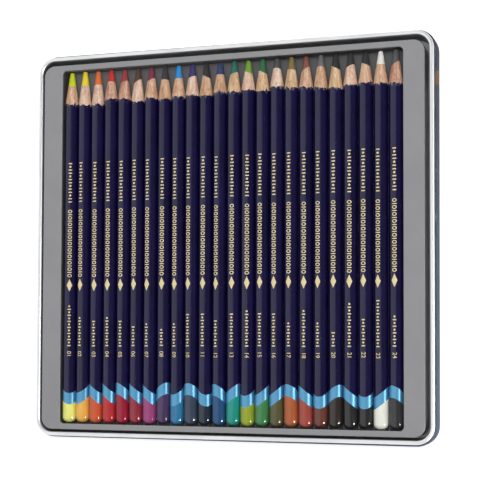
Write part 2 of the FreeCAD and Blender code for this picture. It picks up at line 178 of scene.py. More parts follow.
class FinishColours(bpy.types.PropertyGroup):
    """Colours of the shared finishes."""
    lacquer: colour_prop("Lacquer", "130d39", "Gloss lacquer on the barrels")
    band: colour_prop("Band", "62a6ce", "Metallic band above the dip")
    foil: colour_prop("Foil", "ead9a8", "Stamped gold foil")
    tray: colour_prop("Tray", "949496", "Formed plastic")
    tin: colour_prop("Tinplate", "f2f3f5", "Bright tinplate")
    print_far: colour_prop("Print, point side", "464852", "Lid print at the pencils' points")
    print_near: colour_prop("Print, dip side", "65758b", "Lid print at the dipped ends")
    stripe: colour_prop("Stripe", "84654f", "Stripe across the lid print")


class PencilSetLook(bpy.types.PropertyGroup):
    """All sizes and colours of the set."""
    pencil: PointerProperty(type=PencilSizes, name="Pencil", description="Sizes that all pencils share")
    tin: PointerProperty(type=TinSizes, name="Tin", description="Sizes of the pressed tin")
    colours: PointerProperty(type=FinishColours, name="Colours", description="Colours of the shared finishes")
    pencils: CollectionProperty(type=PencilLook, name="Pencils", description="Each pencil from left to right")


class Finish:
    """One procedural material, built round its shader on the piece's own coordinates."""

    def __init__(self, name, **sockets):
        self.material = bpy.data.materials.new(name)
        self.material.use_nodes = True
        self.tree = self.material.node_tree
        self.shader = self.tree.nodes["Principled BSDF"]
        self.coords = self.node("ShaderNodeTexCoord").outputs["Object"]
        for socket, setting in sockets.items():
            self.shader.inputs[socket.replace("_", " ")].default_value = setting

    def node(self, kind, **settings):
        made = self.tree.nodes.new(kind)
        for name, setting in settings.items():
            setattr(made, name, setting)
        return made

    def feed(self, socket, source):
        """Links an output, or sets a constant."""
        if isinstance(source, bpy.types.NodeSocket):
            self.tree.links.new(source, socket)
        else:
            socket.default_value = source

    def noise(self, scale, stretch=(1, 1, 1), detail=3.0, warp=0.0):
        """A pattern of so many blotches to the metre, drawn out along an axis whose stretch is under 1."""
        mapping = self.node("ShaderNodeMapping")
        mapping.inputs["Scale"].default_value = stretch
        self.feed(mapping.inputs["Vector"], self.coords)
        pattern = self.node("ShaderNodeTexNoise")
        self.feed(pattern.inputs["Vector"], mapping.outputs[0])
        for socket, setting in (("Scale", scale), ("Detail", detail), ("Distortion", warp)):
            pattern.inputs[socket].default_value = setting
        return pattern.outputs[0]

    def axis(self, letter):
        parts = self.node("ShaderNodeSeparateXYZ")
        self.feed(parts.inputs[0], self.coords)
        return parts.outputs[letter]

    def attribute(self, name):
        return self.node("ShaderNodeAttribute", attribute_name=name).outputs["Fac"]

    def spread(self, source, low, high, start=0.0, end=1.0):
        """Carries start..end of a value to low..high."""
        scaled = self.node("ShaderNodeMapRange")
        self.feed(scaled.inputs["Value"], source)
        for socket, setting in (("From Min", start), ("From Max", end), ("To Min", low), ("To Max", high)):
            scaled.inputs[socket].default_value = setting
        return scaled.outputs[0]

    def combine(self, kind, first, second):
        """Joins two values by one kind of arithmetic."""
        made = self.node("ShaderNodeMath", operation=kind)
        self.feed(made.inputs[0], first)
        self.feed(made.inputs[1], second)
        return made.outputs[0]

    def blend(self, factor, first, second):
        made = self.node("ShaderNodeMix", data_type="RGBA")
        self.feed(made.inputs["Factor"], factor)
        self.feed(made.inputs[6], first)
        self.feed(made.inputs[7], second)
        return made.outputs[2]

    def colour(self, source):
        self.feed(self.shader.inputs["Base Color"], source)

    def roughness(self, source):
        self.feed(self.shader.inputs["Roughness"], source)

    def bump(self, height, depth, strength):
        made = self.node("ShaderNodeBump")
        made.inputs["Strength"].default_value = strength
        made.inputs["Distance"].default_value = depth
        self.feed(made.inputs["Height"], height)
        self.feed(self.shader.inputs["Normal"], made.outputs[0])


def rgba(colour):
    return (*colour[:3], 1.0)


def shade(colour, factor):
    """A colour made darker, or lighter where the factor is over 1."""
    return (*(min(1.0, c * factor) for c in colour[:3]), 1.0)


# Colours of chipped lacquer, of the painted shade on the lid's folded edge and of the scuffs on it
UNDERCOAT = "98a2b8"
FOLD_SHADE = "2c2e36"
SCUFFED_FOLD = "b9bcc0"
# Where the stripe lies along the lid, how soft its edges are and how far they lean for each step up
STRIPE_LOW = 71.2 * MM
STRIPE_HIGH = 78.0 * MM
STRIPE_BLUR = 0.2 * MM
STRIPE_SLOPE = 0.23
# Heights between which the lid's skirt turns into its folded edge
FOLD_FROM_TO = (8.6 * MM, 9.3 * MM)


def lacquer_finish(colours):
    """Deep gloss lacquer: the grain just shows through, and the torn edge is chipped to a paler undercoat."""
    finish = Finish("navy_lacquer", Specular_IOR_Level=0.5)
    cloud = finish.noise(70, detail=2)
    body = finish.blend(finish.spread(cloud, 0, 1, 0.3, 0.7),
                        shade(colours.lacquer, 0.85), shade(colours.lacquer, 1.2))
    near_edge = finish.spread(finish.attribute("from_paint_line"), 0.75, 0.0, 0.0, 1.0)
    chips = finish.spread(finish.noise(1100, (1, 0.5, 1), detail=2), 0, 1, 0.56, 0.63)
    dust = finish.spread(finish.noise(2300, detail=1), 0, 0.45, 0.76, 0.8)
    marks = finish.combine("MAXIMUM", finish.combine("MULTIPLY", near_edge, chips), dust)
    finish.colour(finish.blend(marks, body, paint(UNDERCOAT)))
    finish.roughness(finish.spread(finish.noise(900), 0.12, 0.19))
    grain = finish.noise(1800, (1, 0.03, 1), detail=4)
    finish.bump(grain, 0.01 * MM, 0.5)
    return finish.material


def band_finish(colours):
    """Metallic paint rolled on round the barrel, with fine flakes and a sheen drawn out along it."""
    finish = Finish("blue_metallic_band", Metallic=0.55, Anisotropic=0.65)
    along = finish.node("ShaderNodeCombineXYZ")
    along.inputs["Y"].default_value = 1.0
    finish.feed(finish.shader.inputs["Tangent"], along.outputs[0])
    flakes = finish.noise(9000, detail=1)
    finish.colour(finish.blend(finish.spread(flakes, 0, 1, 0.35, 0.65),
                               shade(colours.band, 0.9), shade(colours.band, 1.12)))
    finish.roughness(finish.spread(finish.noise(2500), 0.42, 0.5))
    finish.bump(flakes, 0.01 * MM, 0.4)
    return finish.material


def foil_finish(colours):
    """Hot-stamped gold, a little broken where the grain lies low."""
    finish = Finish("gold_foil", Metallic=0.4)
    worn = finish.spread(finish.noise(3500, (1, 0.4, 1), detail=3), 0, 1, 0.58, 0.72)
    finish.colour(finish.blend(worn, rgba(colours.foil), shade(colours.foil, 0.55)))
    finish.roughness(finish.spread(finish.noise(2000), 0.32, 0.5))
    finish.bump(finish.noise(4000, (1, 0.2, 1)), 0.01 * MM, 0.4)
    return finish.material


def wood_finish(name, light, dark):
    """Sharpened wood: long grain, dark fibres, short flecks and faint knife marks."""
    finish = Finish(name, Specular_IOR_Level=0.25)
    grain = finish.noise(800, (1, 0.07, 1), detail=4, warp=0.4)
    tone = finish.blend(finish.spread(grain, 0, 1, 0.34, 0.68), rgba(light), rgba(dark))
    fibres = finish.spread(finish.noise(3600, (1, 0.05, 1), detail=3), 0, 0.55, 0.57, 0.7)
    flecks = finish.spread(finish.noise(1300, (1, 0.4, 1), detail=2), 0, 0.5, 0.56, 0.64)
    finish.colour(finish.blend(finish.combine("MAXIMUM", fibres, flecks), tone, shade(dark, 0.62)))
    finish.roughness(finish.spread(grain, 0.62, 0.8))
    knife = finish.noise(5200, (0.25, 1, 0.25), detail=2)
    finish.bump(finish.combine("ADD", finish.combine("MULTIPLY", fibres, -1.0), knife), 0.04 * MM, 0.6)
    return finish.material


def dip_finish(name, colour):
    """Thick gloss dip that sags a little on its way down."""
    finish = Finish(name, Specular_IOR_Level=0.5)
    cloud = finish.noise(160, (1, 0.5, 1), detail=2)
    finish.colour(finish.blend(finish.spread(cloud, 0, 1, 0.35, 0.65),
                               shade(colour, 0.92), shade(colour, 1.05)))
    finish.roughness(finish.spread(finish.noise(1200), 0.07, 0.13))
    finish.bump(finish.noise(420, (1, 0.6, 1), detail=1), 0.03 * MM, 0.5)
    return finish.material


def core_finish(name, colour):
    """Pressed pigment with pits and the sharpener's streaks."""
    finish = Finish(name, Specular_IOR_Level=0.4)
    streak = finish.noise(2600, (1, 0.12, 1), detail=3)
    tone = finish.blend(finish.spread(streak, 0, 1, 0.3, 0.7), shade(colour, 0.84), shade(colour, 1.12))
    pits = finish.spread(finish.noise(5200, detail=2), 0, 0.5, 0.6, 0.7)
    finish.colour(finish.blend(pits, tone, shade(colour, 0.6)))
    finish.roughness(finish.spread(streak, 0.42, 0.62))
    finish.bump(finish.combine("SUBTRACT", streak, pits), 0.04 * MM, 0.7)
    return finish.material


def tray_finish(colours):
    """Matte formed sheet with a fine pebble, with painted shade under the points and along the pocket's foot.
    """
    finish = Finish("grey_tray_sheet", Specular_IOR_Level=0.5)

    def along(axis, low, high, start, end):
        """A value that runs from low to high between two places on an axis, in mm."""
        return finish.spread(finish.axis(axis), low, high, start * MM, end * MM)

    cloud = finish.noise(45, detail=3)
    tone = finish.blend(finish.spread(cloud, 0, 1, 0.3, 0.7),
                        shade(colours.tray, 0.95), shade(colours.tray, 1.05))
    speck = finish.spread(finish.noise(7000, detail=1), 0, 0.35, 0.6, 0.7)
    tone = finish.blend(speck, tone, shade(colours.tray, 0.8))
    # Painted shade: darker at the pocket's foot by the dipped ends, along its left wall and by the points,
    # and on the sunk floor under the points, more so towards the right
    at_dips = along("Y", 1, 0, -86, -82)
    at_left = along("X", 1, 0, -86, -84)
    deep = along("Z", 0.85, 0, 10.2, 11.4)
    at_points = finish.combine("MULTIPLY", along("Y", 0, 1, 84.6, 87.0), along("X", 0.4, 1, -40, 30))
    foot = finish.combine("MAXIMUM", finish.combine("MAXIMUM", at_dips, at_left), at_points)
    foot_shade = finish.combine("MULTIPLY", foot, deep)
    under_points = along("Y", 0, 1, 66, 74)
    sunk = finish.combine("MULTIPLY", along("Z", 1, 0, 9.0, 11.0), along("X", 0.5, 0.72, -80, 80))
    pocket_shade = finish.combine("MAXIMUM", foot_shade, finish.combine("MULTIPLY", under_points, sunk))
    finish.colour(finish.blend(pocket_shade, tone, shade(colours.tray, 0.12)))
    finish.roughness(finish.spread(finish.noise(1600), 0.36, 0.48))
    finish.bump(finish.noise(5200, detail=2), 0.03 * MM, 0.5)
    return finish.material


def tinplate_finish(colours):
    """Bright rolled tinplate with its rolling lines, a few handling marks and painted shade on the base's
    inside.
    """
    colour = colours.tin
    finish = Finish("bright_tinplate", Metallic=0.85)
    rolled = finish.noise(2600, (0.03, 1, 1), detail=3)
    smears = finish.noise(60, detail=4)
    bright = finish.blend(finish.spread(smears, 0, 1, 0.4, 0.7), rgba(colour), shade(colour, 0.9))
    # Painted shade: darker where the piece marks its inside
    finish.colour(finish.blend(finish.attribute("inside"), bright, shade(colour, 0.6)))
    lines = finish.spread(rolled, 0.38, 0.5)
    finish.roughness(finish.combine("ADD", lines, finish.spread(smears, 0, 0.08, 0.45, 0.7)))
    finish.bump(rolled, 0.01 * MM, 0.4)
    return finish.material


def print_finish(colours):
    """Satin print on the lid: one field that shades along the lid, one plain stripe, painted shade and scuffs
    on the fold.
    """
    finish = Finish("slate_lid_print", Specular_IOR_Level=0.04)
    along = finish.axis("Y")
    far_end = 95 * MM
    field = finish.blend(finish.spread(along, 1, 0, -far_end, far_end),
                         rgba(colours.print_far), rgba(colours.print_near))
    mottle = finish.spread(finish.noise(180, detail=4), 0, 0.2, 0.45, 0.75)
    field = finish.blend(mottle, field, shade(colours.print_near, 1.15))
    # The stripe's edges lean on the skirt
    slanted = finish.combine("ADD", along, finish.combine("MULTIPLY", finish.axis("Z"), STRIPE_SLOPE))
    from_low = finish.spread(slanted, 0, 1, STRIPE_LOW, STRIPE_LOW + STRIPE_BLUR)
    to_high = finish.spread(slanted, 1, 0, STRIPE_HIGH - STRIPE_BLUR, STRIPE_HIGH)
    printed = finish.blend(finish.combine("MULTIPLY", from_low, to_high), field, rgba(colours.stripe))
    fold = finish.spread(finish.axis("Z"), 0, 1, *FOLD_FROM_TO)
    # Painted shade: the print darkens a little on the fold
    printed = finish.blend(finish.combine("MULTIPLY", fold, 0.2), printed, paint(FOLD_SHADE))
    scuffs = finish.spread(finish.noise(260, detail=4), 0, 0.35, 0.62, 0.7)
    finish.colour(finish.blend(finish.combine("MULTIPLY", fold, scuffs), printed, paint(SCUFFED_FOLD)))
    finish.roughness(finish.spread(finish.noise(700), 0.5, 0.62))
    finish.bump(finish.noise(3000, detail=2), 0.01 * MM, 0.4)
    return finish.material


SHARED = {}


def shared(make, colours):
    """A finish that several pieces wear, made the first time that one asks for it."""
    if make not in SHARED:
        SHARED[make] = make(colours)
    return SHARED[make]


def finish_piece(name, bm, materials, sharp=35.0):
    """Merges a mesh's doubles, turns its faces outwards and puts it in the scene as a smooth-shaded piece."""
    bmesh.ops.remove_doubles(bm, verts=bm.verts, dist=MERGE)
    bmesh.ops.recalc_face_normals(bm, faces=bm.faces)
    mesh = bpy.data.meshes.new(name)
    bm.to_mesh(mesh)
    bm.free()
    for material in materials:
        mesh.materials.append(material)
    mesh.shade_smooth()
    mesh.set_sharp_from_angle(angle=math.radians(sharp))
    piece = bpy.data.objects.new(name, mesh)
    bpy.context.scene.collection.objects.link(piece)
    return piece


def seat(piece, body, slot, *nodes):
    """Lets a piece ride on a body and hides the CAD nodes that it stands for. Its slot is not used."""
    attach(piece, body)
    if nodes:
        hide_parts(*nodes)


def arc(centre, radius, start, end, steps):
    """Points of a section's arc, as (outwards, up) pairs, from one angle to another in degrees."""
    turns = [math.radians(start + (end - start) * i / steps) for i in range(steps + 1)]
    return [(centre[0] + radius * math.cos(t), centre[1] + radius * math.sin(t)) for t in turns]


def carry_round(bm, section, half_x, half_y, corner, steps):
    """Carries a section of (outwards, up) pairs round a rounded rectangle.

    Returns the layer that numbers the rings of vertices, one ring for each point of the section.
    """
    ring = bm.verts.layers.int.new("ring")
    start_y = -(half_y - corner)
    verts = [bm.verts.new((half_x + out, start_y, up)) for out, up in section]
    for index, vert in enumerate(verts):
        vert[ring] = index
    edges = [bm.edges.new(pair) for pair in zip(verts, verts[1:])]
    straights = (Vector((0, 2 * (half_y - corner), 0)), Vector((-2 * (half_x - corner), 0, 0)))
    centres = ((1, 1), (-1, 1), (-1, -1), (1, -1))
    for quarter, (side_x, side_y) in enumerate(centres):
        run = straights[quarter % 2] * (1 if quarter < 2 else -1)
        made = bmesh.ops.extrude_edge_only(bm, edges=edges)["geom"]
        bmesh.ops.translate(bm, verts=[g for g in made if isinstance(g, bmesh.types.BMVert)], vec=run)
        edges = [g for g in made if isinstance(g, bmesh.types.BMEdge)]
        centre = (side_x * (half_x - corner), side_y * (half_y - corner), 0)
        spun = bmesh.ops.spin(bm, geom=edges, cent=centre, axis=(0, 0, 1), angle=TURN / 4, steps=steps)
        edges = [g for g in spun["geom_last"] if isinstance(g, bmesh.types.BMEdge)]
    bmesh.ops.remove_doubles(bm, verts=bm.verts, dist=MERGE)
    return ring


def close_panel(bm, ring, index):
    """Fills the flat panel inside one ring of a carried section."""
    rim = [e for e in bm.edges if e.is_boundary and all(v[ring] == index for v in e.verts)]
    bmesh.ops.contextual_create(bm, geom=rim)


# How far a pan's flat panel starts inside its wall, as a share of the corner radius
PANEL_SHARE = 0.8


class PENCILSET_OT_base(bpy.types.Operator):
    """Models the tinplate base with its floor bend and rolled bead"""
    bl_idname = "pencilset.base"
    bl_label = "Tin base"
    bl_options = {"UNDO"}

    def execute(self, context):
        look = context.scene.pencil_set
        tin = look.tin
        low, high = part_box("base_tin")
        sheet, bead, bend = tin.sheet, tin.bead / 2, tin.base_bend
        half_x, half_y = high.x - tin.bead, high.y - tin.bead
        floor, rim = low.z + sheet, high.z - bead
        panel = -tin.base_corner * PANEL_SHARE
        bend_at = (-(bend - sheet), low.z + bend)
        meets_wall = -math.degrees(math.acos((sheet - bead) / bead))
        section = [(panel, floor)]
        section += arc(bend_at, bend - sheet, -90, 0, 6)
        first_of_bead = len(section)
        section += arc((bead, rim), bead, 180, meets_wall, 40)
        section += arc(bend_at, bend, 0, -90, 8)
        section += [(panel, low.z)]
        bm = bmesh.new()
        ring = carry_round(bm, section, half_x, half_y, tin.base_corner, tin.corner_steps)
        close_panel(bm, ring, 0)
        close_panel(bm, ring, len(section) - 1)
        inside = bm.verts.layers.float.new("inside")
        # Painted shade on the inside fades out over a few rings as the bead turns over
        outside_from, fading = first_of_bead + 6, 4
        for vert in bm.verts:
            vert[inside] = min(1.0, max(0.0, (outside_from - vert[ring]) / fading))
        metal = shared(tinplate_finish, look.colours)
        seat(finish_piece("base_pan", bm, [metal]), "base", "tinplate", "base_tin")
        return {"FINISHED"}


class PENCILSET_OT_lid(bpy.types.Operator):
    """Models the printed lid with its bend and hem, bare tinplate inside"""
    bl_idname = "pencilset.lid"
    bl_label = "Lid"
    bl_options = {"UNDO"}

    def execute(self, context):
        look = context.scene.pencil_set
        tin = look.tin
        low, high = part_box("lid")
        sheet, bend, top = tin.sheet, tin.lid_bend, high.z
        fold = 0.9 * sheet
        lip = 0.1 * MM
        panel = -tin.lid_corner * PANEL_SHARE
        bend_at = (-bend, low.z + bend)
        section = [(panel, low.z + sheet)]
        section += arc(bend_at, bend - sheet, -90, 0, 6)
        section += [(-sheet, top - tin.hem)]
        # The hem shows the printed side of its sheet
        first_printed = len(section)
        section += [(-2 * sheet, top - tin.hem + lip)]
        section += arc((fold - 2 * sheet, top - fold), fold, 180, 90, 5)
        section += arc((-fold, top - fold), fold, 90, 0, 5)
        section += arc(bend_at, bend, 0, -90, 8)
        section += [(panel, low.z)]
        bm = bmesh.new()
        ring = carry_round(bm, section, tin.lid_half_x, tin.lid_half_y, tin.lid_corner, tin.corner_steps)
        close_panel(bm, ring, 0)
        close_panel(bm, ring, len(section) - 1)
        for face in bm.faces:
            face.material_index = 0 if min(v[ring] for v in face.verts) >= first_printed else 1
        bmesh.ops.rotate(bm, verts=bm.verts, cent=(0, 0, 0), matrix=Matrix.Rotation(tin.lid_turn, 3, "Z"))
        finishes = [shared(print_finish, look.colours), shared(tinplate_finish, look.colours)]
        seat(finish_piece("lid_pan", bm, finishes), "lid", "lid_print", "lid")
        return {"FINISHED"}


class PENCILSET_OT_tray(bpy.types.Operator):
    """Gives the formed tray its finish"""
    bl_idname = "pencilset.tray"
    bl_label = "Tray"
    bl_options = {"UNDO"}

    def execute(self, context):
        look = context.scene.pencil_set
        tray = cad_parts["pencil_tray"]
        tray.data.materials.clear()
        tray.data.materials.append(shared(tray_finish, look.colours))
        return {"FINISHED"}


def turn_outline(bm, outline, axis, sides):
    """Turns an outline of (radius, along) pairs about a pencil's axis.

    Returns the layer that numbers the rings of vertices, one ring for each point of the outline.
    """
    ring = bm.verts.layers.int.new("ring")
    verts = [bm.verts.new((axis.x, axis.y + along, axis.z + radius)) for radius, along in outline]
    for index, vert in enumerate(verts):
        vert[ring] = index
    edges = [bm.edges.new(pair) for pair in zip(verts, verts[1:])]
    bmesh.ops.spin(bm, geom=verts + edges, cent=axis, axis=(0, 1, 0), angle=TURN, steps=sides, use_merge=True)
    bmesh.ops.remove_doubles(bm, verts=bm.verts, dist=MERGE)
    return ring


def turn_of(vert, axis):
    """Angle of a vertex about a pencil's axis, from +Z towards +X."""
    return math.atan2(vert.co.x - axis.x, vert.co.z - axis.z)


def put(vert, axis, turn, radius, along):
    """Moves a vertex to a place about a pencil's axis."""
    vert.co = axis + Vector((radius * math.sin(turn), along, radius * math.cos(turn)))


class Barrel:
    """Where one pencil lies and how its cone and core run."""

    def __init__(self, index, look):
        sizes, own = look.pencil, look.pencils[index]
        self.number = f"{index + 1:02d}"
        low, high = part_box(f"pencil_{self.number}_casing")
        self.axis = Vector(((low.x + high.x) / 2, low.y, (low.z + high.z) / 2))
        self.sizes, self.own = sizes, own
        self.radius, self.point = sizes.barrel / 2, sizes.point / 2
        self.shift_x = own.core_shift * math.cos(own.core_turn)
        self.shift_z = own.core_shift * math.sin(own.core_turn)
        self.shoulder = sizes.length - own.cone

    def along_cone(self, radius):
        """How far along the pencil the cone has a radius."""
        return self.sizes.length - (radius - self.point) * self.own.cone / (self.radius - self.point)

    def mouth(self, bore, turn):
        """Radius at which a bore about the shifted core meets the cone, on one side."""
        towards = self.shift_x * math.sin(turn) + self.shift_z * math.cos(turn)
        return towards + math.sqrt(towards ** 2 - self.own.core_shift ** 2 + bore ** 2)


# The lacquer's torn edge: long waves between knots, a jitter on each facet and a few nicks. Lengths in mm
EDGE_SEED = 4100
EDGE_KNOTS = 23
EDGE_WAVE = (-0.8, 0.0)
EDGE_JITTER = (-0.25, 0.25)
NICK_COUNT = (3, 6)
NICK_DEEP = (0.4, 1.0)
NICK_WIDE = (1, 2, 2)
NICK_WAYS = (-1, 1, 1)


def torn_edge(index, sides):
    """How far the lacquer's torn edge runs up the cone (+) or back (-) round one barrel, in metres."""
    chance = random.Random(EDGE_SEED + index)
    knots = [chance.uniform(*EDGE_WAVE) for _ in range(EDGE_KNOTS)]
    edge = []
    for side in range(sides):
        knot, share = divmod(side * len(knots) / sides, 1)
        here, there = knots[int(knot)], knots[(int(knot) + 1) % len(knots)]
        edge.append(here + (there - here) * share + chance.uniform(*EDGE_JITTER))
    for _ in range(chance.randint(*NICK_COUNT)):
        at = chance.randrange(sides)
        wide = chance.choice(NICK_WIDE)
        deep = chance.uniform(*NICK_DEEP)
        way = chance.choice(NICK_WAYS)
        for step in range(-wide, wide + 1):
            edge[(at + step) % sides] += way * deep * (1 - abs(step) / (wide + 1))
    return [length * MM for length in edge]


class PENCILSET_OT_casings(bpy.types.Operator):
    """Models the wooden casings: bore, sharpened cone, torn lacquer edge, tilted band and domed dip"""
    bl_idname = "pencilset.casings"
    bl_label = "Pencil casings"
    bl_options = {"UNDO"}

    def execute(self, context):
        look = context.scene.pencil_set
        for index in range(len(look.pencils)):
            self.model(look, index)
        return {"FINISHED"}

    def model(self, look, index):
        barrel = Barrel(index, look)
        sizes, own, radius, coat = barrel.sizes, barrel.own, barrel.radius, barrel.sizes.coat
        bore = sizes.core / 2 + sizes.fit
        band_top = sizes.band_low + sizes.band_wide
        ledge, torn_back, whole_back = 0.05 * MM, 0.5 * MM, 2.0 * MM
        wood, lacquer, band, dip = range(4)
        # Rings from the closed end of the bore, out over the cone and down to the dipped end, each with the
        # finish of the span that follows it
        rings = [
            ("bore_pole", 0.0, sizes.cover, wood),
            ("bore_end", bore, sizes.cover, wood),
            ("mouth", bore, barrel.along_cone(bore), wood),
        ]
        for share in (0.2, 0.4, 0.6, 0.8):
            at = bore + share * (radius - bore)
            rings.append(("cone", at, barrel.along_cone(at), wood))
        rings += [
            ("wood_edge", radius, barrel.shoulder, wood),
            ("lacquer_edge", radius, barrel.shoulder - torn_back, lacquer),
            ("lacquer_whole", radius, barrel.shoulder - whole_back, lacquer),
            ("barrel", radius, barrel.shoulder / 2, lacquer),
            ("band", radius, band_top + ledge, lacquer),
            ("band", radius + coat / 2, band_top, band),
            ("band", radius + coat / 2, sizes.band_low, band),
            ("band", radius + coat, sizes.band_low - ledge, dip),
        ]
        dome_at = (radius + coat - sizes.dome, sizes.dome)
        rings += [("dome", *point, dip) for point in arc(dome_at, sizes.dome, 0, -90, 12)]
        rings += [("end_pole", 0.0, 0.0, dip)]
        bm = bmesh.new()
        ring = turn_outline(bm, [(r, along) for _, r, along, _ in rings], barrel.axis, sizes.sides)
        line = bm.verts.layers.float.new("from_paint_line")
        torn = torn_edge(index, sizes.sides)
        for vert in bm.verts:
            name = rings[vert[ring]][0]
            turn = turn_of(vert, barrel.axis)
            vert[line] = 0.0 if name in ("wood_edge", "lacquer_edge") else 1.0
            if name in ("bore_pole", "bore_end"):
                vert.co += Vector((barrel.shift_x, 0, barrel.shift_z))
            elif name == "mouth":
                meets = barrel.mouth(bore, turn)
                put(vert, barrel.axis, turn, meets, barrel.along_cone(meets))
            elif name in ("wood_edge", "lacquer_edge"):
                up = torn[round(turn / TURN * sizes.sides) % sizes.sides]
                on_cone = radius - max(0.0, up) * (radius - barrel.point) / own.cone
                under = coat if name == "wood_edge" else 0.0
                put(vert, barrel.axis, turn, on_cone - under, barrel.shoulder + up + under)
            elif name == "band":
                vert.co.y += sizes.band_tilt * math.cos(turn - own.band_turn)
        for face in bm.faces:
            face.material_index = rings[min(v[ring] for v in face.verts)][3]
        finishes = [
            wood_finish(f"wood_{barrel.number}", own.wood_light, own.wood_dark),
            shared(lacquer_finish, look.colours),
            shared(band_finish, look.colours),
            dip_finish(f"dip_{barrel.number}", own.dip),
        ]
        piece = finish_piece(f"pencil_{barrel.number}_barrel", bm, finishes, sharp=PENCIL_SHARP)
        seat(piece, f"pencil_{barrel.number}", "casing", f"pencil_{barrel.number}_casing")


class PENCILSET_OT_cores(bpy.types.Operator):
    """Models the coloured cores with their blunt points"""
    bl_idname = "pencilset.cores"
    bl_label = "Pencil cores"
    bl_options = {"UNDO"}

    def execute(self, context):
        look = context.scene.pencil_set
        for index in range(len(look.pencils)):
            self.model(look, index)
        return {"FINISHED"}

    def model(self, look, index):
        barrel = Barrel(index, look)
        sizes = barrel.sizes
        core, blunt = sizes.core / 2, 0.3 * MM
        cone_end = barrel.point + 0.05 * MM
        rings = [
            ("rod", 0.0, sizes.cover),
            ("rod", core, sizes.cover),
            ("mouth", core, barrel.along_cone(core)),
        ]
        for share in (0.25, 0.5, 0.75):
            at = core + share * (barrel.point - core)
            rings.append(("cone", at, barrel.along_cone(at)))
        rings.append(("cone", cone_end, barrel.along_cone(cone_end)))
        round_at = (barrel.point - blunt, sizes.length - blunt)
        rings += [("point", *place) for place in arc(round_at, blunt, 10, 90, 4)]
        rings.append(("point", 0.0, sizes.length))
        bm = bmesh.new()
        ring = turn_outline(bm, [(r, along) for _, r, along in rings], barrel.axis, sizes.sides)
        for vert in bm.verts:
            name = rings[vert[ring]][0]
            if name == "rod":
                vert.co += Vector((barrel.shift_x, 0, barrel.shift_z))
            elif name == "mouth":
                turn = turn_of(vert, barrel.axis)
                meets = barrel.mouth(core, turn)
                put(vert, barrel.axis, turn, meets, barrel.along_cone(meets))
        finish = core_finish(f"pigment_{barrel.number}", barrel.own.core)
        piece = finish_piece(f"pencil_{barrel.number}_lead", bm, [finish], sharp=PENCIL_SHARP)
        seat(piece, f"pencil_{barrel.number}", f"core_{barrel.number}", f"pencil_{barrel.number}_core")


# The foil's layout: places are measured back from the point, sizes run across and along the barrel
LEAD_MARKS = 13
LEAD_START = 46.2 * MM
LEAD_PITCH = 1.6 * MM
LEAD_DISC = (1.15 * MM, 1.0 * MM)
LEAD_BAR = (1.75 * MM, 0.54 * MM)
RINGS = 11
RING_START = 70.2 * MM
RING_PITCH = 3.2 * MM
RING = (2.2 * MM, 1.75 * MM)
RING_BAR = (2.2 * MM, 0.42 * MM)
LOZENGE_AT = 107.0 * MM
LOZENGE = (2.8 * MM, 6.2 * MM)
TAIL_START = 137.0 * MM
TAIL_PITCH = 1.5 * MM
TAIL_DISC = (1.0 * MM, 0.95 * MM)
TAIL_BAR = (1.6 * MM, 0.56 * MM)
DIGITS_AT = 141.2 * MM
DIGITS_HIGH = 2.0 * MM
# A digit's height as a share of its font size
DIGIT_SHARE = 0.7
# The foil is cut this often across the barrel so that it can bend, and starts this deep in the lacquer
FOIL_CUTS = range(-3, 4)
FOIL_CUT_PITCH = 0.4 * MM
FOIL_SUNK = 0.01 * MM


def flat_bar(bm, along, wide, long):
    """A bar of foil, laid flat before it is bent round a barrel."""
    place = Matrix.Translation((0, -along, 0)) @ Matrix.Diagonal((wide, long, 1, 1))
    bmesh.ops.create_grid(bm, x_segments=1, y_segments=1, size=0.5, matrix=place)


def flat_disc(bm, along, wide, long, corners):
    """An oval of foil, or a lozenge if it has four corners."""
    place = Matrix.Translation((0, -along, 0)) @ Matrix.Diagonal((wide, long, 1, 1))
    bmesh.ops.create_circle(bm, cap_ends=True, segments=corners, radius=0.5, matrix=place)


def flat_ring(bm, along, wide, long, corners):
    """An oval ring of foil."""
    place = Matrix.Translation((0, -along, 0)) @ Matrix.Diagonal((wide, long, 1, 1))
    loops = []
    outer, inner = 0.5, 0.3
    for radius in (outer, inner):
        loops += bmesh.ops.create_circle(bm, segments=corners, radius=radius, matrix=place)["verts"]
    rims = {edge for vert in loops for edge in vert.link_edges}
    bmesh.ops.bridge_loops(bm, edges=list(rims))


def flat_digits(bm, text, along, height):
    """A number that reads from the point towards the dipped end."""
    letters = bpy.data.curves.new("digits", "FONT")
    letters.body, letters.size, letters.resolution_u = text, height / DIGIT_SHARE, 3
    letters.align_x, letters.align_y = "CENTER", "CENTER"
    carrier = bpy.data.objects.new("digits", letters)
    mesh = bpy.data.meshes.new_from_object(carrier)
    mesh.transform(Matrix.Translation((0, -along, 0)) @ Matrix.Rotation(-TURN / 4, 4, "Z"))
    bm.from_mesh(mesh)
    bpy.data.objects.remove(carrier)
    bpy.data.curves.remove(letters)
    bpy.data.meshes.remove(mesh)


